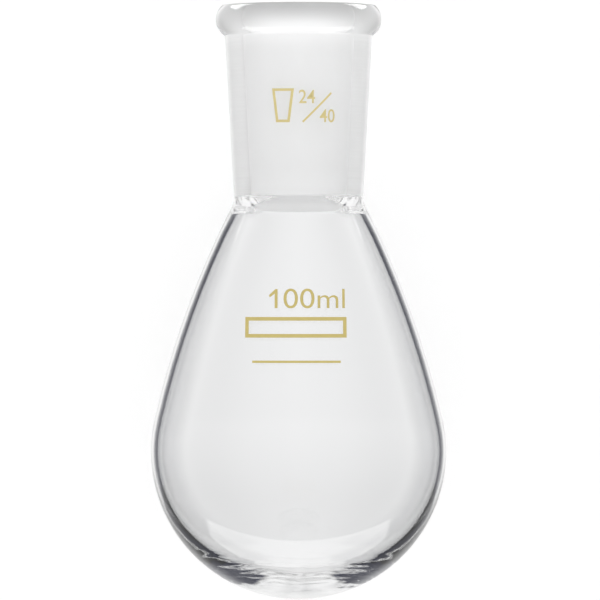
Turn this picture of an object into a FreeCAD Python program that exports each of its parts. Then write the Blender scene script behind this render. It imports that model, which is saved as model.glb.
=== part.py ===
"""Recovery flask of 100 ml with a 24/40 ground socket, blown as one piece of clear glass.

The flask is drawn upright as half a section, radius against depth below the rim, and
revolved. It can't stand on its round bottom, so it is then laid down as it comes to rest
on a bench: on its belly and on the bead of its rim, with the mouth towards +Y. The origin
is under the middle of its box, on the bench. All sizes are in millimetres.
"""

import FreeCAD
import Part
import math
import os

# Ground socket: the bore narrows by a tenth of its depth
MOUTH_BORE = 24.0
ZONE_LENGTH = 40.0
BORE_TAPER = 0.1

# Neck, thick because the socket is ground out of it
NECK_WALL_AT_RIM = 3.8
NECK_WALL_AT_ZONE_END = 3.6

# Bead round the rim, an arc in section
BEAD_PROUD = 1.8
BEAD_SECTION_RADIUS = 4.0
BEAD_DEPTH = 3.0

# Body: a round bottom and belly under a long flank that leans in to the neck
OVERALL_HEIGHT = 124.7
BODY_DIAMETER = 62.0
FLANK_RADIUS = 192.0
SHOULDER_DROP = 1.3

# Wall of the body, which thickens from the belly to the bottom: the cavity turns in a corner
# that is centred off the axis by CORNER_SHARE times the bottom's extra thickness
SHOULDER_WALL = 1.5
BELLY_WALL = 1.35
BOTTOM_WALL = 3.3
CORNER_SHARE = 1.4

# Flare that opens the bore into the body
FLARE_LENGTH = 4.2

# Fire-polished edges and blended corners
MOUTH_ROUND = 0.8
RIM_EDGE_ROUND = 0.4
BEAD_FOOT_FILLET = 0.4
SHOULDER_FILLET = 5.0
ZONE_END_ROUND = 0.8
FLARE_FILLET = 3.0

AXIS = FreeCAD.Vector(0, 0, 1)
RIM_CENTRE = FreeCAD.Vector(0, 0, 0)
SECTION_PLANE = Part.Plane(RIM_CENTRE, FreeCAD.Vector(0, 1, 0))
SAME_POINT = 1e-6


def at(radius, depth):
    """A point of the half section, by its radius and its depth below the rim."""
    return FreeCAD.Vector(radius, 0, -depth)


def bore_radius(depth):
    """Radius of the ground bore at a depth below the rim."""
    return (MOUTH_BORE - BORE_TAPER * depth) / 2


def neck_radius(depth):
    """Outer radius of the neck, whose wall thins evenly from the rim to the zone's end."""
    at_rim = bore_radius(0) + NECK_WALL_AT_RIM
    at_end = bore_radius(ZONE_LENGTH) + NECK_WALL_AT_ZONE_END
    return at_rim + (at_end - at_rim) * depth / ZONE_LENGTH


def line(start, end):
    """A straight edge."""
    return Part.LineSegment(start, end).toShape()


def arc(centre, start, end):
    """The shorter arc about a centre from one point to another."""
    bisector = (start - centre) + (end - centre)
    middle = centre + bisector.normalize() * (start - centre).Length
    return Part.Arc(start, middle, end).toShape()


def line_leaves_circle(centre, radius, start, end):
    """The point past the start where the line through two points leaves a circle."""
    along = (end - start).normalize()
    nearest = start + along * (centre - start).dot(along)
    half_chord = math.sqrt(radius**2 - (centre - nearest).Length ** 2)
    return nearest + along * half_chord


def flank_circle_centre(round_centre, round_radius, shoulder):
    """Centre of the flank's circle, which holds the round below, touches it and meets the shoulder.

    It lies FLANK_RADIUS from the shoulder and FLANK_RADIUS less the round's radius from the
    round's centre, on the far side of the axis.
    """
    to_round = FLANK_RADIUS - round_radius
    base = round_centre - shoulder
    apart = base.Length
    along = (FLANK_RADIUS**2 - to_round**2 + apart**2) / (2 * apart)
    aside = math.sqrt(FLANK_RADIUS**2 - along**2)
    base.normalize()
    away = FreeCAD.Vector(base.z, 0, -base.x)
    return shoulder + base * along + away * aside


def flank_and_round(round_centre, round_radius, shoulder, round_end):
    """Edges from the shoulder down the flank and on round the belly to a point of the round."""
    flank_centre = flank_circle_centre(round_centre, round_radius, shoulder)
    outwards = (round_centre - flank_centre).normalize()
    touch = round_centre + outwards * round_radius
    return [arc(flank_centre, shoulder, touch), arc(round_centre, touch, round_end)]


def cavity_outline(belly_centre, flare_end):
    """Edges from the flare down the flank, round the corner and over the crown to the axis."""
    belly_radius = BODY_DIAMETER / 2
    offset = CORNER_SHARE * (BOTTOM_WALL - BELLY_WALL)
    corner_centre = belly_centre + at(offset, 0)
    corner_radius = belly_radius - BELLY_WALL - offset
    crown_point = belly_centre - AXIS * (belly_radius - BOTTOM_WALL)
    sag = BELLY_WALL + offset - BOTTOM_WALL
    crown_centre = belly_centre + AXIS * (offset**2 - sag**2) / (2 * sag)
    crown_radius = (crown_centre - crown_point).Length
    crown_start = crown_centre + (corner_centre - crown_centre).normalize() * crown_radius
    walls = flank_and_round(corner_centre, corner_radius, flare_end, crown_start)
    return walls + [arc(crown_centre, crown_start, crown_point)], crown_point


def radius_on(edge, depth):
    """Radius and lean from the axis of an outline edge at a depth below the rim."""
    level = line(at(0, depth), at(BODY_DIAMETER, depth))
    point = edge.distToShape(level)[1][0][0]
    tangent = edge.tangentAt(edge.Curve.parameter(point))
    lean = abs(math.atan2(tangent.x, tangent.z))
    return point.x, min(lean, math.pi - lean)


def round_corner(edges, corner, radius):
    """The outline with an arc let in where two of its edges meet at a corner."""
    meets = [min((v.Point - corner).Length for v in e.Vertexes) < SAME_POINT for e in edges]
    fillet = Part.ChFi2d.FilletAlgo()
    fillet.init(*[e for e, met in zip(edges, meets) if met], SECTION_PLANE)
    fillet.perform(radius)
    return [e for e, met in zip(edges, meets) if not met] + list(fillet.result(corner))


def half_section():
    """The closed outline of one side of the wall, with its edges and corners rounded."""
    belly_radius = BODY_DIAMETER / 2
    belly_centre = at(0, OVERALL_HEIGHT - belly_radius)
    shoulder_depth = ZONE_LENGTH + SHOULDER_DROP
    shoulder = at(neck_radius(shoulder_depth), shoulder_depth)
    bottom = belly_centre - AXIS * belly_radius
    outside = flank_and_round(belly_centre, belly_radius, shoulder, bottom)

    bead_radius = neck_radius(BEAD_DEPTH) + BEAD_PROUD
    bead_centre = at(bead_radius - BEAD_SECTION_RADIUS, BEAD_DEPTH)
    half_rim_chord = math.sqrt(BEAD_SECTION_RADIUS**2 - BEAD_DEPTH**2)
    rim_corner = at(bead_centre.x + half_rim_chord, 0)
    bead_foot = line_leaves_circle(bead_centre, BEAD_SECTION_RADIUS, at(neck_radius(0), 0), shoulder)

    mouth = at(bore_radius(0), 0)
    zone_end = at(bore_radius(ZONE_LENGTH), ZONE_LENGTH)
    flare_depth = ZONE_LENGTH + FLARE_LENGTH
    outer_radius, lean = radius_on(outside[0], flare_depth)
    flare_end = at(outer_radius - SHOULDER_WALL / math.cos(lean), flare_depth)
    inside, crown_point = cavity_outline(belly_centre, flare_end)

    edges = [
        line(mouth, rim_corner),
        arc(bead_centre, rim_corner, bead_foot),
        line(bead_foot, shoulder),
        *outside,
        line(bottom, crown_point),
        *inside,
        line(flare_end, zone_end),
        line(zone_end, mouth),
    ]
    rounds = [
        (mouth, MOUTH_ROUND),
        (rim_corner, RIM_EDGE_ROUND),
        (bead_foot, BEAD_FOOT_FILLET),
        (shoulder, SHOULDER_FILLET),
        (zone_end, ZONE_END_ROUND),
        (flare_end, FLARE_FILLET),
    ]
    for corner, radius in rounds:
        edges = round_corner(edges, corner, radius)
    return Part.Wire(Part.__sortEdges__(edges))


def upright_flask():
    """The flask standing upright, its rim at the origin and its body below."""
    return Part.Face(half_section()).revolve(RIM_CENTRE, AXIS, 360)


def resting_tilt():
    """How far the rim end dips, in degrees, when the belly and the bead both touch the bench."""
    bead_ring = neck_radius(BEAD_DEPTH) + BEAD_PROUD - BEAD_SECTION_RADIUS
    belly_depth = OVERALL_HEIGHT - BODY_DIAMETER / 2
    along = belly_depth - BEAD_DEPTH
    rise = BODY_DIAMETER / 2 - BEAD_SECTION_RADIUS
    tangent = math.asin(rise / math.hypot(along, bead_ring))
    return math.degrees(tangent - math.atan2(bead_ring, along))


def laid_down(flask):
    """The flask at rest on the bench, its mouth towards +Y and its box centred over the origin."""
    flask.rotate(RIM_CENTRE, FreeCAD.Vector(1, 0, 0), -90 - resting_tilt())
    box = flask.optimalBoundingBox(False)
    flask.translate(FreeCAD.Vector(0, -box.Center.y, -box.ZMin))
    return flask


os.makedirs("parts", exist_ok=True)
laid_down(upright_flask()).exportStep("parts/flask_body.step")
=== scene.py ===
"""Dresses the recovery flask: clear blown glass, a ground socket and fired-on ochre marks.

The flask lies on a white bench, and the camera looks down on it square to its axis. The
section of the glass is drawn as straights and bends, rounded at its corners and spun, then
laid down where the frame has the flask. Lengths are in millimetres until a mesh is placed.
"""

import logging
import math
from dataclasses import dataclass, replace
from enum import Enum

import bmesh
import bpy
from mathutils import Matrix, Vector


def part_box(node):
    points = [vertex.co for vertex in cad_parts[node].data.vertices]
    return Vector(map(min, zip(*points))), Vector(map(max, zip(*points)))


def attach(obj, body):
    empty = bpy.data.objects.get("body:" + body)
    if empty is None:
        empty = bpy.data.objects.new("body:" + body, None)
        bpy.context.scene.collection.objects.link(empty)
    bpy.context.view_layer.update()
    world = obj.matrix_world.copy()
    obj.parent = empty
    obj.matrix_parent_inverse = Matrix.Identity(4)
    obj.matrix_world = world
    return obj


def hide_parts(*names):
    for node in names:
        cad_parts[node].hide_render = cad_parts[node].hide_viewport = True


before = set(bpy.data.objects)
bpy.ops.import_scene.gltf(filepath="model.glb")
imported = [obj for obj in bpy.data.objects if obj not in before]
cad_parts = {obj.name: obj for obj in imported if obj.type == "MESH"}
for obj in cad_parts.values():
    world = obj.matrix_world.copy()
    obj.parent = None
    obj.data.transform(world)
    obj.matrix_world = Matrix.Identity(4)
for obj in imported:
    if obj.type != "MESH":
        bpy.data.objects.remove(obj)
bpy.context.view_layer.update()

LOG = logging.getLogger("flask")
MM = 0.001

Colour = tuple[float, float, float, float]
Flat = tuple[float, float]
Socket = bpy.types.NodeSocket
Tree = bpy.types.NodeTree


# Section of the glass

END_STEP = 0.4
LARGE_BEND = 20.0
LARGE_BEND_STEP = math.radians(1.8)
SMALL_BEND_STEP = math.radians(7.0)
FEWEST_STEPS = 3
ROUNDING_PASSES = 30


@dataclass(frozen=True)
class Straight:
    """A straight stretch of the section, in radius and height."""

    start: Vector
    end: Vector

    def foot(self, point: Vector) -> Vector:
        """The nearest point on the stretch's line."""
        along = (self.end - self.start).normalized()
        return self.start + along * (point - self.start).dot(along)

    def inwards(self, corner: Vector) -> Vector:
        """Unit direction along the stretch, away from one of its ends."""
        far = self.end if (corner - self.start).length < (corner - self.end).length else self.start
        return (far - corner).normalized()

    def trace(self, bm: bmesh.types.BMesh, vertex: bmesh.types.BMVert) -> bmesh.types.BMVert:
        """Draws the stretch from its start, with a short step at each end to keep the shading true.

        Args:
            bm: The mesh that holds the section.
            vertex: The vertex at the start.

        Returns:
            The vertex at the end.
        """
        span = self.end - self.start
        margin = min(END_STEP, span.length / 4)
        along = span.normalized()
        for stop in (self.start + along * margin, self.end - along * margin, self.end):
            grown = bmesh.ops.extrude_vert_indiv(bm, verts=[vertex])
            vertex = grown["verts"][0]
            vertex.co = Vector((stop.x, 0, stop.y))
        return vertex


@dataclass(frozen=True)
class Bend:
    """A round stretch of the section, the shorter way about its centre."""

    centre: Vector
    start: Vector
    end: Vector

    @property
    def radius(self) -> float:
        """Radius of the bend."""
        return (self.start - self.centre).length

    @property
    def turn(self) -> float:
        """Signed angle from start to end, in radians."""
        a, b = self.start - self.centre, self.end - self.centre
        return math.atan2(a.x * b.y - a.y * b.x, a.dot(b))

    def foot(self, point: Vector) -> Vector:
        """The nearest point on the bend's circle."""
        return self.centre + (point - self.centre).normalized() * self.radius

    def inwards(self, corner: Vector) -> Vector:
        """Unit direction along the bend, away from one of its ends.

        Args:
            corner: The end.

        Returns:
            The direction there.
        """
        at_start = (corner - self.start).length < (corner - self.end).length
        arm = (corner - self.centre).normalized()
        sign = math.copysign(1.0, self.turn) * (1 if at_start else -1)
        return Vector((-arm.y, arm.x)) * sign

    def trace(self, bm: bmesh.types.BMesh, vertex: bmesh.types.BMVert) -> bmesh.types.BMVert:
        """Draws the bend from its start.

        Args:
            bm: The mesh that holds the section.
            vertex: The vertex at the start.

        Returns:
            The vertex at the end.
        """
        step = LARGE_BEND_STEP if self.radius > LARGE_BEND else SMALL_BEND_STEP
        spun = bmesh.ops.spin(
            bm,
            geom=[vertex],
            cent=(self.centre.x, 0, self.centre.y),
            axis=(0, -1, 0),
            angle=self.turn,
            steps=max(FEWEST_STEPS, math.ceil(abs(self.turn) / step)),
            use_duplicate=False,
        )
        last = [v for v in spun["geom_last"] if isinstance(v, bmesh.types.BMVert)][0]
        last.co = Vector((self.end.x, 0, self.end.y))
        return last


Stretch = Straight | Bend


def rounded(before: Stretch, after: Stretch, radius: float) -> list[Stretch]:
    """Lets an arc of a given radius in where one stretch meets the next.

    Args:
        before: The stretch that ends at the corner.
        after: The stretch that starts there.
        radius: Radius of the arc.

    Returns:
        The shortened first stretch, the arc and the shortened second stretch.
    """
    corner = before.end
    centre = corner + (before.inwards(corner) + after.inwards(corner)).normalized() * radius
    for _ in range(ROUNDING_PASSES):
        arms = [centre - stretch.foot(centre) for stretch in (before, after)]
        (a, b), (c, d) = [arm.normalized() for arm in arms]
        short_a, short_b = [radius - arm.length for arm in arms]
        det = a * d - b * c
        centre = centre + Vector(((short_a * d - short_b * b) / det, (a * short_b - c * short_a) / det))
    first, last = before.foot(centre), after.foot(centre)
    return [replace(before, end=first), Bend(centre, first, last), replace(after, start=last)]


@dataclass(frozen=True)
class FlaskSizes:
    """Sizes of the flask in millimetres, depths measured down from the rim."""

    mouth_bore: float = 24.0
    zone_length: float = 40.0
    bore_taper: float = 0.1
    wall_at_rim: float = 3.8
    wall_at_zone_end: float = 3.6
    bead_proud: float = 1.8
    bead_section_radius: float = 4.0
    bead_depth: float = 3.0
    height: float = 124.7
    body_diameter: float = 62.0
    flank_radius: float = 192.0
    shoulder_drop: float = 1.3
    shoulder_wall: float = 1.5
    belly_wall: float = 1.35
    bottom_wall: float = 3.3
    corner_share: float = 1.4
    flare_length: float = 4.2
    mouth_round: float = 0.8
    rim_edge_round: float = 0.4
    bead_foot_fillet: float = 0.4
    shoulder_fillet: float = 5.0
    zone_end_round: float = 0.8
    flare_fillet: float = 3.0

    def bore_radius(self, depth: float) -> float:
        """Radius of the ground bore at a depth."""
        return (self.mouth_bore - self.bore_taper * depth) / 2

    def neck_radius(self, depth: float) -> float:
        """Outer radius of the neck, whose wall thins evenly from the rim to the zone's end.

        Args:
            depth: Depth below the rim.

        Returns:
            The radius there.
        """
        top = self.bore_radius(0) + self.wall_at_rim
        end = self.bore_radius(self.zone_length) + self.wall_at_zone_end
        return top + (end - top) * depth / self.zone_length

    @property
    def belly_radius(self) -> float:
        """Radius of the round belly."""
        return self.body_diameter / 2

    @property
    def belly_depth(self) -> float:
        """Depth of the belly's centre."""
        return self.height - self.belly_radius

    @property
    def tilt(self) -> float:
        """How far the rim end dips, in radians, with belly and bead on the bench."""
        bead_ring = self.neck_radius(self.bead_depth) + self.bead_proud - self.bead_section_radius
        along = self.belly_depth - self.bead_depth
        rise = self.belly_radius - self.bead_section_radius
        return math.asin(rise / math.hypot(along, bead_ring)) - math.atan2(bead_ring, along)


def point(radius: float, depth: float) -> Vector:
    """A point of the section from its radius and depth."""
    return Vector((radius, -depth))


def flank_centre(sizes: FlaskSizes, belly: Vector, belly_radius: float, shoulder: Vector) -> Vector:
    """Centre of the flank's circle, which meets the shoulder and touches the belly's circle inside it.

    Args:
        sizes: The flask's sizes.
        belly: Centre of the belly's circle.
        belly_radius: Radius of the belly's circle.
        shoulder: The point that the flank starts from.

    Returns:
        The centre, on the far side of the axis.
    """
    base = belly - shoulder
    inner = sizes.flank_radius - belly_radius
    along = (sizes.flank_radius**2 - inner**2 + base.length**2) / (2 * base.length)
    aside = math.sqrt(sizes.flank_radius**2 - along**2)
    unit = base.normalized()
    return shoulder + unit * along + Vector((unit.y, -unit.x)) * aside


def flank_stroke(sizes: FlaskSizes, centre: Vector, radius: float, shoulder: Vector) -> Bend:
    """The flank from the shoulder down to where it runs into a round below.

    Args:
        sizes: The flask's sizes.
        centre: Centre of the round.
        radius: Radius of the round.
        shoulder: The point that the flank starts from.

    Returns:
        The flank.
    """
    own_centre = flank_centre(sizes, centre, radius, shoulder)
    touch = centre + (centre - own_centre).normalized() * radius
    return Bend(own_centre, shoulder, touch)


class Section:
    """The flask's half section, from the bottom up the outside and down the inside."""

    def __init__(self, sizes: FlaskSizes) -> None:
        """Works out the outside, the inside and the rounded corners between.

        Args:
            sizes: The flask's sizes.
        """
        self.sizes = sizes
        s = sizes
        belly = point(0, s.belly_depth)
        shoulder_depth = s.zone_length + s.shoulder_drop
        shoulder = point(s.neck_radius(shoulder_depth), shoulder_depth)
        self.flank = flank_stroke(s, belly, s.belly_radius, shoulder)
        bottom = point(0, s.height)

        bead_radius = s.neck_radius(s.bead_depth) + s.bead_proud
        bead = point(bead_radius - s.bead_section_radius, s.bead_depth)
        rim_corner = point(bead.x + math.sqrt(s.bead_section_radius**2 - s.bead_depth**2), 0)
        neck_line = Straight(point(s.neck_radius(0), 0), shoulder)
        nearest = neck_line.foot(bead)
        reach = math.sqrt(s.bead_section_radius**2 - (bead - nearest).length ** 2)
        bead_foot = nearest + (shoulder - nearest).normalized() * reach
        self.neck = Straight(shoulder, bead_foot)

        flare_depth = s.zone_length + s.flare_length
        drop = self.flank.centre.y + flare_depth
        outer = self.flank.centre.x + math.sqrt(s.flank_radius**2 - drop**2)
        lean = math.asin(drop / s.flank_radius)
        flare_end = point(outer - s.shoulder_wall / math.cos(lean), flare_depth)
        offset = s.corner_share * (s.bottom_wall - s.belly_wall)
        corner = point(offset, s.belly_depth)
        corner_radius = s.belly_radius - s.belly_wall - offset
        inner_flank = flank_stroke(s, corner, corner_radius, flare_end)
        floor = point(0, s.height - s.bottom_wall)
        sag = s.belly_wall + offset - s.bottom_wall
        crown = belly + Vector((0, (offset**2 - sag**2) / (2 * sag)))
        crown_start = crown + (corner - crown).normalized() * (crown - floor).length

        mouth, zone_end = point(s.bore_radius(0), 0), point(s.bore_radius(s.zone_length), s.zone_length)
        strokes: list[Stretch] = [
            Bend(belly, bottom, self.flank.end),
            Bend(self.flank.centre, self.flank.end, self.flank.start),
            self.neck,
            Bend(bead, bead_foot, rim_corner),
            Straight(rim_corner, mouth),
            Straight(mouth, zone_end),
            Straight(zone_end, flare_end),
            inner_flank,
        ]
        rounds = [
            s.shoulder_fillet,
            s.bead_foot_fillet,
            s.rim_edge_round,
            s.mouth_round,
            s.zone_end_round,
            s.flare_fillet,
        ]
        self.strokes = strokes[:1]
        upcoming = strokes[1]
        for radius, after in zip(rounds, strokes[2:]):
            before, arc, upcoming = rounded(upcoming, after, radius)
            self.strokes += [before, arc]
        inner_round = Bend(corner, inner_flank.end, crown_start)
        self.strokes += [upcoming, inner_round, Bend(crown, crown_start, floor)]

    def draw(self, bm: bmesh.types.BMesh) -> None:
        """Draws the whole half section in the XZ plane.

        Args:
            bm: The empty mesh to draw in.
        """
        start = self.strokes[0].start
        vertex = bm.verts.new((start.x, 0, start.y))
        for stroke in self.strokes:
            vertex = stroke.trace(bm, vertex)


# Placing


@dataclass(frozen=True)
class Rest:
    """Where the upright flask goes when it lies on the bench."""

    tilt: float
    rim_centre: Vector

    @classmethod
    def found(cls, sizes: FlaskSizes) -> "Rest":
        """Works the rest out from the sizes, and centres it along Y in the frame's box.

        Args:
            sizes: The flask's sizes.

        Returns:
            The rest.
        """
        low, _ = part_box("flask_body")
        tilt = sizes.tilt
        rim_height = sizes.belly_radius - sizes.belly_depth * math.sin(tilt)
        belly_y = low[1] / MM + sizes.belly_radius
        rim_y = belly_y + sizes.belly_depth * math.cos(tilt)
        return cls(tilt, Vector((0, rim_y, rim_height)))

    @property
    def axis(self) -> Vector:
        """Unit direction out of the mouth."""
        return Vector((0, math.cos(self.tilt), -math.sin(self.tilt)))

    @property
    def matrix(self) -> Matrix:
        """Takes the upright flask in millimetres to its place in metres."""
        turn = Matrix.Rotation(-math.pi / 2 - self.tilt, 4, "X")
        return Matrix.Scale(MM, 4) @ Matrix.Translation(self.rim_centre) @ turn

    def place(self, bm: bmesh.types.BMesh) -> None:
        """Moves a mesh drawn on the upright flask to where the flask lies."""
        bmesh.ops.transform(bm, matrix=self.matrix, verts=bm.verts)


# Values in nodes


class Sum(Enum):
    """The ways in which values make one value."""

    PLUS = "ADD"
    TIMES = "MULTIPLY"
    TIMES_PLUS = "MULTIPLY_ADD"
    LARGER = "MAXIMUM"
    BELOW = "LESS_THAN"
    ABOVE = "GREATER_THAN"
    SIZE = "ABSOLUTE"
    SINE = "SINE"


class Seen(Enum):
    """What is told of a ray: its kind, or how often it was scattered, mirrored or let through."""

    CAMERA = "Is Camera Ray"
    GLOSSY = "Is Glossy Ray"
    TRANSMISSION = "Is Transmission Ray"
    SCATTERED = "Diffuse Depth"
    REFLECTED = "Glossy Depth"
    SURFACES = "Transmission Depth"


def feed(tree: Tree, target: Socket, value: Socket | float) -> None:
    """Gives an input its value.

    Args:
        tree: The nodes.
        target: The input.
        value: A number, or a socket to link it to.
    """
    if isinstance(value, bpy.types.NodeSocket):
        tree.links.new(value, target)
    else:
        target.default_value = value


def reckoned(tree: Tree, how: Sum, *values: Socket | float) -> Socket:
    """Makes one value out of others.

    Args:
        tree: The nodes to add to.
        how: What is done with the values.
        values: Sockets and numbers, in order.

    Returns:
        The socket with the result.
    """
    node = tree.nodes.new("ShaderNodeMath")
    node.operation = how.value
    for target, value in zip(node.inputs, values):
        feed(tree, target, value)
    return node.outputs[0]


def product(tree: Tree, first: Socket, *others: Socket) -> Socket:
    """Several values multiplied.

    Args:
        tree: The nodes to add to.
        first: The first value.
        others: The others.

    Returns:
        The socket with the result.
    """
    result = first
    for other in others:
        result = reckoned(tree, Sum.TIMES, result, other)
    return result


def mixed(tree: Tree, factor: Socket, a: Socket | float, b: Socket | float) -> Socket:
    """Goes from one value to another.

    Args:
        tree: The nodes to add to.
        factor: How far it has gone, from 0 to 1.
        a: The first value.
        b: The second value.

    Returns:
        The socket with the result.
    """
    node = tree.nodes.new("ShaderNodeMix")
    for name, value in (("Factor", factor), ("A", a), ("B", b)):
        feed(tree, node.inputs[name], value)
    return node.outputs["Result"]


def tinted(tree: Tree, factor: Socket, a: Colour, b: Colour) -> Socket:
    """Goes from one colour to another.

    Args:
        tree: The nodes to add to.
        factor: How far it has gone, from 0 to 1.
        a: The first colour.
        b: The second colour.

    Returns:
        The socket with the result.
    """
    node = tree.nodes.new("ShaderNodeMix")
    node.data_type = "RGBA"
    node.inputs["A"].default_value = a
    node.inputs["B"].default_value = b
    tree.links.new(factor, node.inputs["Factor"])
    return node.outputs["Result"]


@dataclass(frozen=True)
class Fade:
    """A smooth change from one value to another while a measure goes over a range."""

    start: float
    end: float
    before: float = 0.0
    after: float = 1.0

    def over(self, tree: Tree, measure: Socket) -> Socket:
        """The value for a measure.

        Args:
            tree: The nodes to add to.
            measure: The measure.

        Returns:
            The socket with the value.
        """
        node = tree.nodes.new("ShaderNodeMapRange")
        node.interpolation_type = "SMOOTHSTEP"
        node.inputs["From Min"].default_value = self.start
        node.inputs["From Max"].default_value = self.end
        node.inputs["To Min"].default_value = self.before
        node.inputs["To Max"].default_value = self.after
        tree.links.new(measure, node.inputs["Value"])
        return node.outputs["Result"]


@dataclass(frozen=True)
class Grain:
    """Soft noise in space or along one measure, with features of a width."""

    width: float
    detail: float = 2.0

    def over(self, tree: Tree, where: Socket) -> Socket:
        """The noise at a place or a measure.

        Args:
            tree: The nodes to add to.
            where: The place, or the measure.

        Returns:
            The socket with the noise, from 0 to 1.
        """
        in_space = where.type == "VECTOR"
        node = tree.nodes.new("ShaderNodeTexNoise")
        node.noise_dimensions = "3D" if in_space else "1D"
        node.inputs["Scale"].default_value = 1 / self.width
        node.inputs["Detail"].default_value = self.detail
        tree.links.new(where, node.inputs["Vector" if in_space else "W"])
        return node.outputs["Fac"]


def on_piece(tree: Tree) -> Socket:
    """The shaded point's place on its piece, in metres."""
    return tree.nodes.new("ShaderNodeTexCoord").outputs["Object"]


def depth_below_rim(tree: Tree, rest: Rest) -> Socket:
    """The depth of the shaded point below the flask's rim.

    Args:
        tree: The nodes to add to.
        rest: Where the flask lies.

    Returns:
        The socket with the depth in millimetres.
    """
    along = tree.nodes.new("ShaderNodeVectorMath")
    along.operation = "DOT_PRODUCT"
    along.inputs[1].default_value = -rest.axis / MM
    tree.links.new(on_piece(tree), along.inputs[0])
    return reckoned(tree, Sum.PLUS, along.outputs["Value"], rest.rim_centre.dot(rest.axis))


# Finishes


def new_material(name: str) -> tuple[bpy.types.Material, Tree, bpy.types.Node]:
    """Starts a material.

    Args:
        name: Its name.

    Returns:
        The material, its nodes and its Principled shader.
    """
    material = bpy.data.materials.new(name)
    material.use_nodes = True
    tree = material.node_tree
    return material, tree, tree.nodes["Principled BSDF"]


@dataclass(frozen=True)
class ClearGlass:
    """Clear borosilicate glass, fire-polished, with the drawn glass of the bottom slightly wavy."""

    rest: Rest
    name: str = "clear_glass"
    colour: Colour = (0.985, 0.987, 0.989, 1.0)
    ior: float = 1.473
    wavy_depth: Fade = Fade(112.0, 121.0)
    waves: Grain = Grain(1.3, 1.0)
    wave_height: float = 0.065
    patches: Grain = Grain(12.5 * MM, 1.0)
    patch_shift: float = 3.0

    def material(self) -> bpy.types.Material:
        """Makes the material, whose waves run round the bottom and shift from patch to patch.

        Returns:
            The material.
        """
        material, tree, shader = new_material(self.name)
        depth = depth_below_rim(tree, self.rest)
        patch = self.patches.over(tree, on_piece(tree))
        shifted = reckoned(tree, Sum.TIMES_PLUS, patch, self.patch_shift, depth)
        bump = tree.nodes.new("ShaderNodeBump")
        bump.inputs["Distance"].default_value = self.wave_height * MM
        tree.links.new(self.wavy_depth.over(tree, depth), bump.inputs["Strength"])
        tree.links.new(self.waves.over(tree, shifted), bump.inputs["Height"])
        tree.links.new(bump.outputs["Normal"], shader.inputs["Normal"])
        shader.inputs["Base Color"].default_value = self.colour
        shader.inputs["Roughness"].default_value = 0.0
        shader.inputs["IOR"].default_value = self.ior
        shader.inputs["Transmission Weight"].default_value = 1.0
        return material


@dataclass(frozen=True)
class GroundGlass:
    """The finely ground wall of the socket, which starts softly below the polished mouth."""

    rest: Rest
    name: str = "ground_glass"
    ior: float = 1.473
    roughness: Fade = Fade(0.3, 1.5, 0.0, 0.7)
    clearness: Fade = Fade(0.3, 1.5, 1.0, 0.3)
    thinner_end: Fade = Fade(32.0, 40.0, 1.0, 1.5)
    # Painted light and shade in the colour, by depth: painted shade just under the rim, painted light near
    # the mouth that dims deeper down, and paler painted light at the zone's end
    painted_shade_under_rim: Fade = Fade(1.6, 4.2, 0.55, 0.995)
    painted_light_near_mouth: Fade = Fade(5.5, 10.0, 1.0, 0.885)
    painted_light_at_zone_end: Fade = Fade(33.0, 40.0, 1.0, 1.12)
    rings: Grain = Grain(0.5)
    ring_strength: Fade = Fade(0.3, 0.7, 0.97, 1.03)

    def material(self) -> bpy.types.Material:
        """Makes the material, whose frosting depends on the depth below the rim, and whose colour holds
        painted shade under the rim and painted light near the mouth and at the zone's end.

        Returns:
            The material.
        """
        material, tree, shader = new_material(self.name)
        depth = depth_below_rim(tree, self.rest)
        clear = product(
            tree,
            self.clearness.over(tree, depth),
            self.thinner_end.over(tree, depth),
            self.ring_strength.over(tree, self.rings.over(tree, depth)),
        )
        # The colour is painted shade under the rim and painted light near the mouth and at the zone's end
        tone = product(
            tree,
            self.painted_shade_under_rim.over(tree, depth),
            self.painted_light_near_mouth.over(tree, depth),
            self.painted_light_at_zone_end.over(tree, depth),
        )
        tree.links.new(tone, shader.inputs["Base Color"])
        tree.links.new(self.roughness.over(tree, depth), shader.inputs["Roughness"])
        tree.links.new(clear, shader.inputs["Transmission Weight"])
        shader.inputs["IOR"].default_value = self.ior
        return material


@dataclass(frozen=True)
class Enamel:
    """Fired-on ochre enamel, slightly uneven in tone."""

    name: str = "ochre_enamel"
    light: Colour = (0.65, 0.54, 0.195, 1.0)
    dark: Colour = (0.57, 0.46, 0.155, 1.0)
    grain: Grain = Grain(1 / 900)
    roughness: float = 0.35

    def material(self) -> bpy.types.Material:
        """Makes the material.

        Returns:
            The material.
        """
        material, tree, shader = new_material(self.name)
        tone = tinted(tree, self.grain.over(tree, on_piece(tree)), self.dark, self.light)
        tree.links.new(tone, shader.inputs["Base Color"])
        shader.inputs["Roughness"].default_value = self.roughness
        return material


# The glass


def finished(name: str, bm: bmesh.types.BMesh, materials: list[bpy.types.Material]) -> bpy.types.Object:
    """Turns a placed mesh into an object with its materials.

    Args:
        name: Name of the piece.
        bm: The mesh, which is freed.
        materials: Its materials, in the order of their slots.

    Returns:
        The object, linked to the scene.
    """
    mesh = bpy.data.meshes.new(name)
    bm.to_mesh(mesh)
    bm.free()
    for material in materials:
        mesh.materials.append(material)
    piece = bpy.data.objects.new(name, mesh)
    bpy.context.scene.collection.objects.link(piece)
    return piece


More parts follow.
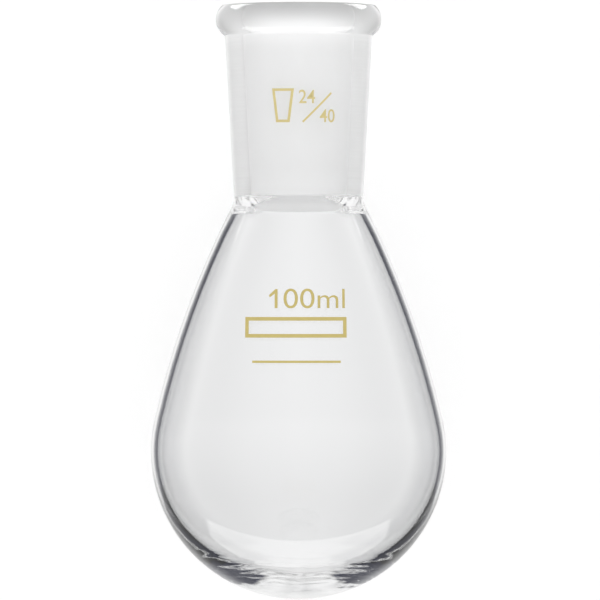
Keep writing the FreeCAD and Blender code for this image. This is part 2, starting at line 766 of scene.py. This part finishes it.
@dataclass(frozen=True)
class FlaskGlass:
    """The blown flask, spun from its section."""

    section: Section
    rest: Rest
    segments: int = 256
    same_place: float = 1e-4
    off_ground: float = 0.05

    def build(self) -> bpy.types.Object:
        """Spins the section, grinds the socket's faces and lays the flask down.

        Returns:
            The flask.
        """
        bm = bmesh.new()
        self.section.draw(bm)
        wire = bm.verts[:] + bm.edges[:]
        bmesh.ops.spin(
            bm,
            geom=wire,
            cent=(0, 0, 0),
            axis=(0, 0, 1),
            angle=math.tau,
            steps=self.segments,
            use_merge=True,
            use_duplicate=False,
        )
        bmesh.ops.remove_doubles(bm, verts=bm.verts, dist=self.same_place)
        bmesh.ops.recalc_face_normals(bm, faces=bm.faces)
        for face in bm.faces:
            face.smooth = True
            face.material_index = int(self.is_ground(face.calc_center_median()))
        self.rest.place(bm)
        finishes = [ClearGlass(self.rest).material(), GroundGlass(self.rest).material()]
        glass = finished("flask_glass", bm, finishes)
        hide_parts("flask_body")
        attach(glass, "root")
        return glass

    def is_ground(self, centre: Vector) -> bool:
        """Whether a face of the upright flask is on the ground wall of the socket.

        Args:
            centre: The face's centre.

        Returns:
            True if it is.
        """
        sizes = self.section.sizes
        depth = -centre.z
        off_wall = abs(math.hypot(centre.x, centre.y) - sizes.bore_radius(depth))
        return sizes.mouth_round < depth < sizes.zone_length and off_wall < self.off_ground


# The marks


class Surface:
    """A cone-like stretch of the outside that a flat mark is wrapped on, like a decal."""

    def __init__(self, stroke: Stretch, depth: float) -> None:
        """Finds the middle of the decal on the stretch.

        Args:
            stroke: The stretch.
            depth: Depth of the decal's middle line below the rim.
        """
        self.stroke = stroke
        if isinstance(stroke, Bend):
            centre, radius = stroke.centre, stroke.radius
            height = -depth
            across = centre.x + math.sqrt(radius**2 - (height - centre.y) ** 2)
            self.middle = Vector((across, height))
            arm = (self.middle - centre).normalized()
            self.down = Vector((arm.y, -arm.x))
            self.out = arm
        else:
            along = (stroke.start - stroke.end).normalized()
            share = (-depth - stroke.start.y) / (stroke.end.y - stroke.start.y)
            self.middle = stroke.start + (stroke.end - stroke.start) * share
            self.down = along if along.y < 0 else -along
            self.out = Vector((-self.down.y, self.down.x))

    def at(self, run: float) -> tuple[Vector, Vector]:
        """Finds a place on the section.

        Args:
            run: How far down the surface it is from the decal's middle.

        Returns:
            The section's point and outward normal there.
        """
        if isinstance(self.stroke, Bend):
            turn = run / self.stroke.radius
            arm = self.out * math.cos(turn) + self.down * math.sin(turn)
            return self.stroke.centre + arm * self.stroke.radius, arm
        return self.middle + self.down * run, self.out

    def wrapped(self, flat: Vector, lift: float) -> Vector:
        """Where a point of the flat decal comes to lie on the upright flask.

        Args:
            flat: Millimetres across to the right, up, and off the surface.
            lift: Gap under the decal.

        Returns:
            The point, with the decal's side of the flask facing -Y.
        """
        place, normal = self.at(-flat.y)
        about = flat.x / place.x
        place = place + normal * (flat.z + lift)
        return Vector((place.x * math.sin(about), -place.x * math.cos(about), place.y))


@dataclass(frozen=True)
class Label:
    """Plain characters, fitted to a box on the decal."""

    text: str
    left: float
    right: float
    top: float
    bottom: float
    weight: float = 0.0

    def draw(self, bm: bmesh.types.BMesh) -> None:
        """Adds the flat characters to a mesh.

        Args:
            bm: The mesh.
        """
        curve = bpy.data.curves.new("label", "FONT")
        curve.body = self.text
        curve.offset = self.weight
        writing = bpy.data.objects.new("label", curve)
        mesh = bpy.data.meshes.new_from_object(writing)
        part = bmesh.new()
        part.from_mesh(mesh)
        xs, ys = [v.co.x for v in part.verts], [v.co.y for v in part.verts]
        wide, tall = max(xs) - min(xs), max(ys) - min(ys)
        scale = Matrix.Diagonal(((self.right - self.left) / wide, (self.top - self.bottom) / tall, 1, 1))
        to_corner = Matrix.Translation((-min(xs), -min(ys), 0))
        to_box = Matrix.Translation((self.left, self.bottom, 0))
        bmesh.ops.transform(part, matrix=to_box @ scale @ to_corner, verts=part.verts)
        part.to_mesh(mesh)
        part.free()
        bm.from_mesh(mesh)
        bpy.data.objects.remove(writing)
        bpy.data.curves.remove(curve)
        bpy.data.meshes.remove(mesh)


@dataclass(frozen=True)
class Stripe:
    """A straight stripe of even width between two points of the decal."""

    start: Flat
    end: Flat
    width: float

    def draw(self, bm: bmesh.types.BMesh) -> None:
        """Adds the flat stripe to a mesh.

        Args:
            bm: The mesh.
        """
        a, b = Vector(self.start), Vector(self.end)
        aside = (b - a).orthogonal().normalized() * self.width / 2
        corners = [a + aside, a - aside, b - aside, b + aside]
        bm.faces.new([bm.verts.new((c.x, c.y, 0)) for c in corners])


@dataclass(frozen=True)
class FigureOne:
    """The figure 1, a stem with a flag, which stands on its lower right corner.

    The flag's corners are given as shares of the height below the top, and the slants of the
    stem's top and the flag's tip as shares of the stroke's width.
    """

    right: float
    bottom: float
    width: float
    height: float
    stroke: float
    flag_root: float = 0.24
    flag_top: float = 0.32
    flag_end: float = 0.44
    stem_slant: float = 0.25
    tip_slant: float = 0.3

    def draw(self, bm: bmesh.types.BMesh) -> None:
        """Adds the flat figure to a mesh.

        Args:
            bm: The mesh.
        """
        stem = self.right - self.stroke
        left, top = self.right - self.width, self.bottom + self.height
        corners = (
            (stem, self.bottom),
            (self.right, self.bottom),
            (self.right, top),
            (stem + self.stem_slant * self.stroke, top),
            (left, top - self.flag_top * self.height),
            (left + self.tip_slant * self.stroke, top - self.flag_end * self.height),
            (stem, top - self.flag_root * self.height),
        )
        bm.faces.new([bm.verts.new((x, y, 0)) for x, y in corners])


@dataclass(frozen=True)
class Loop:
    """A closed line of even width, drawn inside the corners of a convex shape."""

    corners: tuple[Flat, ...]
    width: float

    def draw(self, bm: bmesh.types.BMesh) -> None:
        """Adds the flat line to a mesh. The corners run anticlockwise.

        Args:
            bm: The mesh.
        """
        outer = [Vector(c) for c in self.corners]
        count = len(outer)
        inwards = []
        for i in range(count):
            along = (outer[(i + 1) % count] - outer[i]).normalized()
            inwards.append(Vector((-along.y, along.x)))
        rings = []
        for i, corner in enumerate(outer):
            before, after = inwards[i - 1], inwards[i]
            inner = corner + (before + after) * self.width / (1 + before.dot(after))
            rings.append([bm.verts.new((c.x, c.y, 0)) for c in (corner, inner)])
        for (a, b), (d, c) in zip(rings, rings[1:] + rings[:1]):
            bm.faces.new([a, d, c, b])


@dataclass(frozen=True)
class Decal:
    """Flat marks that are fired on to one stretch of the flask."""

    name: str
    surface: Surface
    marks: tuple[Label | Stripe | FigureOne | Loop, ...]
    coat: Enamel
    thickness: float = 0.03
    gap: float = 0.01
    cell: float = 0.4
    same_place: float = 1e-5

    def build(self, rest: Rest) -> bpy.types.Object:
        """Draws the marks flat, thickens them and wraps them on the flask.

        Args:
            rest: Where the flask lies.

        Returns:
            The marks in one piece.
        """
        bm = bmesh.new()
        for mark in self.marks:
            mark.draw(bm)
        bm.normal_update()
        bmesh.ops.triangulate(bm, faces=bm.faces)
        self.cut(bm, 0)
        self.cut(bm, 1)
        bmesh.ops.recalc_face_normals(bm, faces=bm.faces)
        grown = bmesh.ops.extrude_face_region(bm, geom=bm.faces[:])
        raised = [v for v in grown["geom"] if isinstance(v, bmesh.types.BMVert)]
        bmesh.ops.translate(bm, verts=raised, vec=(0, 0, self.thickness))
        bmesh.ops.recalc_face_normals(bm, faces=bm.faces)
        for vertex in bm.verts:
            vertex.co = self.surface.wrapped(vertex.co.copy(), self.gap)
        rest.place(bm)
        piece = finished(self.name, bm, [self.coat.material()])
        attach(piece, "root")
        return piece

    def cut(self, bm: bmesh.types.BMesh, axis: int) -> None:
        """Cuts the flat marks into cells along one axis, so that they can bend.

        Args:
            bm: The mesh.
            axis: 0 for across, 1 for up.
        """
        values = [v.co[axis] for v in bm.verts]
        normal = Vector((1, 0, 0)) if axis == 0 else Vector((0, 1, 0))
        steps = math.ceil((max(values) - min(values)) / self.cell)
        for step in range(1, steps):
            geometry = bm.verts[:] + bm.edges[:] + bm.faces[:]
            where = normal * (min(values) + step * self.cell)
            bmesh.ops.bisect_plane(bm, geom=geometry, dist=self.same_place, plane_co=where, plane_no=normal)


def joint_marks(surface: Surface) -> Decal:
    """The joint's size beside a plain outline of a tapered socket, in a thinner coat.

    Args:
        surface: The stretch of the neck.

    Returns:
        The decal.
    """
    socket = ((-5.65, 2.8), (-4.75, -4.25), (-1.85, -4.25), (-0.95, 2.8))
    marks = (
        Loop(socket, width=0.55),
        Label("24", left=0.05, right=3.45, top=2.5, bottom=-0.3, weight=0.006),
        Stripe((0.85, -4.2), (7.05, 1.9), width=0.4),
        Label("40", left=4.45, right=7.85, top=-1.5, bottom=-4.25, weight=0.006),
    )
    thin = Enamel("thin_ochre_enamel", light=(0.74, 0.63, 0.28, 1.0), dark=(0.66, 0.55, 0.23, 1.0))
    return Decal("joint_size_mark", surface, marks, thin)


def capacity_marks(surface: Surface) -> Decal:
    """The capacity in plain figures.

    Args:
        surface: The stretch of the body.

    Returns:
        The decal.
    """
    marks = (
        FigureOne(right=-4.35, bottom=0.45, width=1.85, height=4.2, stroke=0.62),
        Label("00ml", left=-3.1, right=9.85, top=4.75, bottom=0.4, weight=-0.003),
    )
    return Decal("capacity_mark", surface, marks, Enamel())


def field_marks(surface: Surface) -> Decal:
    """A plain field for writing in, with a rule under it.

    Args:
        surface: The stretch of the body.

    Returns:
        The decal.
    """
    field = ((-11.4, -1.5), (-11.4, -6.0), (10.2, -6.0), (10.2, -1.5))
    marks = (Loop(field, width=0.8), Stripe((-9.75, -11.2), (8.85, -11.2), width=0.5))
    return Decal("writing_field", surface, marks, Enamel())


# The studio


@dataclass(frozen=True)
class View:
    """The camera, square to the flask's axis and in front of its marks."""

    rest: Rest
    distance: float = 1320.0
    aim_depth: float = 61.9
    aim_across: float = 0.3
    lens: float = 377.0
    sensor_width: float = 36.0
    nearest: float = 50.0
    farthest: float = 20000.0

    def build(self) -> bpy.types.Object:
        """Makes the camera and sets it as the scene's.

        Returns:
            The camera.
        """
        data = bpy.data.cameras.new("camera")
        data.lens = self.lens
        data.sensor_width = self.sensor_width
        data.clip_start = self.nearest * MM
        data.clip_end = self.farthest * MM
        camera = bpy.data.objects.new("camera", data)
        bpy.context.scene.collection.objects.link(camera)
        upright = Matrix.Translation((self.aim_across, -self.distance, -self.aim_depth))
        look = Matrix.Rotation(math.pi / 2, 4, "X")
        placed = self.rest.matrix @ upright @ look
        camera.matrix_world = Matrix.LocRotScale(placed.to_translation(), placed.to_quaternion(), None)
        bpy.context.scene.camera = camera
        return camera


@dataclass(frozen=True)
class Bench:
    """A plane that is white to the camera and keeps the flask's soft shadow."""

    side: float = 3000.0
    glow: float = 0.75
    grey: float = 0.3
    pale: float = 0.8

    def build(self) -> None:
        """Makes the bench."""
        bm = bmesh.new()
        bmesh.ops.create_grid(bm, x_segments=1, y_segments=1, size=self.side * MM / 2)
        finished("bench", bm, [self.material()])

    def material(self) -> bpy.types.Material:
        """Makes a material that is white to the camera, clear to the glass and pale to the rest.

        Returns:
            The material.
        """
        material, tree, _ = new_material("bench_white")
        tree.nodes.clear()
        glow = tree.nodes.new("ShaderNodeEmission")
        glow.inputs["Strength"].default_value = self.glow
        white = tree.nodes.new("ShaderNodeAddShader")
        tree.links.new(self.matt(tree, self.grey), white.inputs[0])
        tree.links.new(glow.outputs[0], white.inputs[1])
        clear = tree.nodes.new("ShaderNodeBsdfTransparent")
        told = tree.nodes.new("ShaderNodeLightPath").outputs
        shader = self.matt(tree, self.pale)
        for kind, answer in ((Seen.GLOSSY, clear), (Seen.TRANSMISSION, clear), (Seen.CAMERA, white)):
            mix = tree.nodes.new("ShaderNodeMixShader")
            tree.links.new(told[kind.value], mix.inputs[0])
            tree.links.new(shader, mix.inputs[1])
            tree.links.new(answer.outputs[0], mix.inputs[2])
            shader = mix.outputs[0]
        output = tree.nodes.new("ShaderNodeOutputMaterial")
        tree.links.new(shader, output.inputs["Surface"])
        return material

    @staticmethod
    def matt(tree: Tree, shade: float) -> Socket:
        """A matt shader of an even grey.

        Args:
            tree: The nodes to add to.
            shade: How light it is, from 0 to 1.

        Returns:
            The shader's socket.
        """
        shader = tree.nodes.new("ShaderNodeBsdfDiffuse")
        shader.inputs["Color"].default_value = (shade, shade, shade, 1)
        return shader.outputs[0]


class Ray:
    """A ray that reaches the surround: its direction from the flask, and what is told of it."""

    def __init__(self, tree: Tree, tilt: float) -> None:
        """Splits the direction, a unit vector, into its parts.

        Args:
            tree: The nodes to add to.
            tilt: How far the flask's rim end dips.
        """
        direction = tree.nodes.new("ShaderNodeTexCoord").outputs["Generated"]
        turned = tree.nodes.new("ShaderNodeVectorRotate")
        turned.rotation_type = "X_AXIS"
        turned.inputs["Angle"].default_value = tilt
        tree.links.new(direction, turned.inputs["Vector"])
        across, self.mouthwards, self.up = self.parts(tree, turned.outputs[0])
        self.aside = reckoned(tree, Sum.SIZE, across)
        self.off_bench = self.parts(tree, direction)[2]
        self.told = tree.nodes.new("ShaderNodeLightPath").outputs

    @staticmethod
    def parts(tree: Tree, direction: Socket) -> list[Socket]:
        """A direction's three parts.

        Args:
            tree: The nodes to add to.
            direction: The direction.

        Returns:
            Their sockets.
        """
        split = tree.nodes.new("ShaderNodeSeparateXYZ")
        tree.links.new(direction, split.inputs[0])
        return list(split.outputs)


@dataclass(frozen=True)
class Surround:
    """The world: white, with what the glass lets through and mirrors set by direction.

    It stands for a white room with cards beside the glass, as in a real glass shot. Fades go
    over parts of the ray's direction, and levels are those of white, which is 1.
    """

    rest: Rest

    # White below the flask, softly uneven
    middle: Fade = Fade(0.0, 0.045, 0.905, 0.83)
    sides: Fade = Fade(0.05, 0.14, 1.0, 1.17)
    footwards: Fade = Fade(-0.1, 0.02, 0.9, 1.0)
    above: Fade = Fade(-0.5, -0.3)

    # Dark cards to the far sides and beside the foot, and slats behind the foot
    far_cards: Fade = Fade(0.26, 0.36, 1.0, 0.05)
    foot_cards_aside: Fade = Fade(0.14, 0.22)
    foot_cards_behind: Fade = Fade(-0.24, -0.16, 1.0, 0.0)
    foot_cards: Fade = Fade(0.0, 1.0, 1.0, 0.05)
    slats_behind: Fade = Fade(-0.2, -0.15, 1.0, 0.0)
    slats: Fade = Fade(-0.1, 0.6, 1.0, 0.5)
    slat_rate: float = 75.0

    # The bright card that the bottom mirrors as a curve
    card_low: Fade = Fade(-0.925, -0.885, 1.0, 0.0)
    card_lean: float = 1.27
    card_high: Fade = Fade(-0.02, 0.02)
    card_sag: float = 0.355
    card_narrow: Fade = Fade(0.88, 0.92, 1.0, 0.0)
    card_flare: float = -0.667
    card_behind: Fade = Fade(-0.35, -0.3, 1.0, 0.0)
    card_glow: float = 2.3

    # The two crescents of light that the bead and the shoulder mirror
    crescents_aside: Fade = Fade(0.45, 0.55)
    crescents_mouthwards: Fade = Fade(0.48, 0.53)
    crescents_low: Fade = Fade(-0.35, -0.25, 1.0, 0.0)
    crescents_glow: float = 5.0
    mirrored_room: Fade = Fade(-0.92, -0.75, 0.9, 0.48)

    # Light that the ground wall has scattered, and what tells it from light to the bench
    scattered_light: Fade = Fade(0.3, 0.9, 2.18, 1.05)
    low_enough: Fade = Fade(0.35, 0.5, 1.0, 0.0)
    over_two_surfaces: float = 2.5
    over_three_surfaces: float = 3.5
    over_once: float = 1.5

    # Bluish darks
    dark_tint: Colour = (0.45, 0.5, 1.0, 1.0)
    white: Colour = (1.0, 1.0, 1.0, 1.0)
    tint_end: Fade = Fade(0.0, 0.3)

    def build(self) -> None:
        """Makes the world and sets it as the scene's."""
        world = bpy.data.worlds.new("surround")
        bpy.context.scene.world = world
        world.use_nodes = True
        tree = world.node_tree
        tree.nodes.clear()
        ray = Ray(tree, self.rest.tilt)
        told = ray.told
        scattered = self.scattered_light.over(tree, ray.aside)
        from_ground = self.from_ground(tree, ray)
        answers = ((Seen.GLOSSY, self.mirrored(tree, ray)), (Seen.TRANSMISSION, self.let_through(tree, ray)))
        level: Socket | float = 1.0
        for kind, answer in answers:
            inside = mixed(tree, from_ground, answer, scattered)
            level = mixed(tree, told[kind.value], level, inside)
        level = mixed(tree, told[Seen.CAMERA.value], level, 1.0)
        tint = tinted(tree, self.tint_end.over(tree, level), self.dark_tint, self.white)
        background = tree.nodes.new("ShaderNodeBackground")
        tree.links.new(tint, background.inputs["Color"])
        tree.links.new(level, background.inputs["Strength"])
        output = tree.nodes.new("ShaderNodeOutputWorld")
        tree.links.new(background.outputs[0], output.inputs["Surface"])

    def let_through(self, tree: Tree, ray: Ray) -> Socket:
        """The level that shows through the glass.

        Args:
            tree: The nodes to add to.
            ray: The ray.

        Returns:
            The socket with the level.
        """
        soft = product(
            tree,
            self.middle.over(tree, ray.aside),
            self.sides.over(tree, ray.aside),
            self.footwards.over(tree, ray.mouthwards),
            self.cards(tree, ray),
        )
        return mixed(tree, self.above.over(tree, ray.up), soft, 1.0)

    def cards(self, tree: Tree, ray: Ray) -> Socket:
        """What the dark cards leave, which show only where one wall or a mirroring turns the light.

        Args:
            tree: The nodes to add to.
            ray: The ray.

        Returns:
            The socket with the share that is left.
        """
        beside_foot = product(
            tree,
            self.foot_cards_aside.over(tree, ray.aside),
            self.foot_cards_behind.over(tree, ray.mouthwards),
        )
        wave = reckoned(tree, Sum.SINE, reckoned(tree, Sum.TIMES, ray.mouthwards, self.slat_rate))
        slats = mixed(tree, self.slats_behind.over(tree, ray.mouthwards), 1.0, self.slats.over(tree, wave))
        left = product(
            tree, self.far_cards.over(tree, ray.aside), self.foot_cards.over(tree, beside_foot), slats
        )
        one_wall = reckoned(tree, Sum.BELOW, ray.told[Seen.SURFACES.value], self.over_two_surfaces)
        turned = reckoned(tree, Sum.LARGER, one_wall, ray.told[Seen.REFLECTED.value])
        return mixed(tree, turned, 1.0, left)

    def mirrored(self, tree: Tree, ray: Ray) -> Socket:
        """The level that the glass mirrors: a plain room, the bright card and the crescents.

        Args:
            tree: The nodes to add to.
            ray: The ray.

        Returns:
            The socket with the level.
        """
        low = reckoned(tree, Sum.TIMES_PLUS, ray.mouthwards, self.card_lean, ray.up)
        high = reckoned(tree, Sum.TIMES_PLUS, ray.aside, self.card_sag, ray.off_bench)
        narrow = reckoned(tree, Sum.TIMES_PLUS, ray.up, self.card_flare, ray.aside)
        card = product(
            tree,
            self.card_low.over(tree, low),
            self.card_high.over(tree, high),
            self.card_narrow.over(tree, narrow),
            self.card_behind.over(tree, ray.mouthwards),
        )
        crescents = product(
            tree,
            self.crescents_aside.over(tree, ray.aside),
            self.crescents_mouthwards.over(tree, ray.mouthwards),
            self.crescents_low.over(tree, ray.up),
        )
        level = self.mirrored_room.over(tree, ray.up)
        for shape, glow in ((card, self.card_glow), (crescents, self.crescents_glow)):
            level = reckoned(tree, Sum.TIMES_PLUS, shape, glow, level)
        return level

    def from_ground(self, tree: Tree, ray: Ray) -> Socket:
        """Whether light was scattered by the ground wall, and not by the bench under the flask.

        Light to the bench leaves upwards through two walls, scattered once.

        Args:
            tree: The nodes to add to.
            ray: The ray.

        Returns:
            The socket, 1 or more where it was.
        """
        scattered = ray.told[Seen.SCATTERED.value]
        surfaces = ray.told[Seen.SURFACES.value]
        few = reckoned(tree, Sum.BELOW, surfaces, self.over_three_surfaces)
        few_or_low = reckoned(tree, Sum.LARGER, few, self.low_enough.over(tree, ray.up))
        often = reckoned(tree, Sum.ABOVE, scattered, self.over_once)
        return product(tree, scattered, reckoned(tree, Sum.LARGER, few_or_low, often))


@dataclass(frozen=True)
class Bounces:
    """How often light may turn before it is given up, which the walls of the glass need."""

    in_all: int = 24
    scattered: int = 16
    let_through: int = 20
    mirrored: int = 12
    past_clear: int = 16

    def set(self) -> None:
        """Sets the limits for the scene."""
        cycles = bpy.context.scene.cycles
        cycles.max_bounces = self.in_all
        cycles.diffuse_bounces = self.scattered
        cycles.transmission_bounces = self.let_through
        cycles.glossy_bounces = self.mirrored
        cycles.transparent_max_bounces = self.past_clear


# Putting it together

JOINT_MARK_DEPTH = 20.7
BODY_MARK_DEPTH = 64.0


def main() -> None:
    """Builds the studio, the glass and its marks, and reports each piece."""
    logging.basicConfig(level=logging.INFO)
    sizes = FlaskSizes()
    section = Section(sizes)
    rest = Rest.found(sizes)
    view = View(rest).build()
    LOG.info("camera at %s", tuple(round(c, 3) for c in view.location))
    Bench().build()
    Surround(rest).build()
    glass = FlaskGlass(section, rest).build()
    LOG.info("%s: %d faces", glass.name, len(glass.data.polygons))
    neck, body = Surface(section.neck, JOINT_MARK_DEPTH), Surface(section.flank, BODY_MARK_DEPTH)
    for decal in (joint_marks(neck), capacity_marks(body), field_marks(body)):
        piece = decal.build(rest)
        LOG.info("%s: %d faces", piece.name, len(piece.data.polygons))
    Bounces().set()
    bpy.context.scene.view_settings.view_transform = "Standard"


if __name__ == "__main__":
    main()
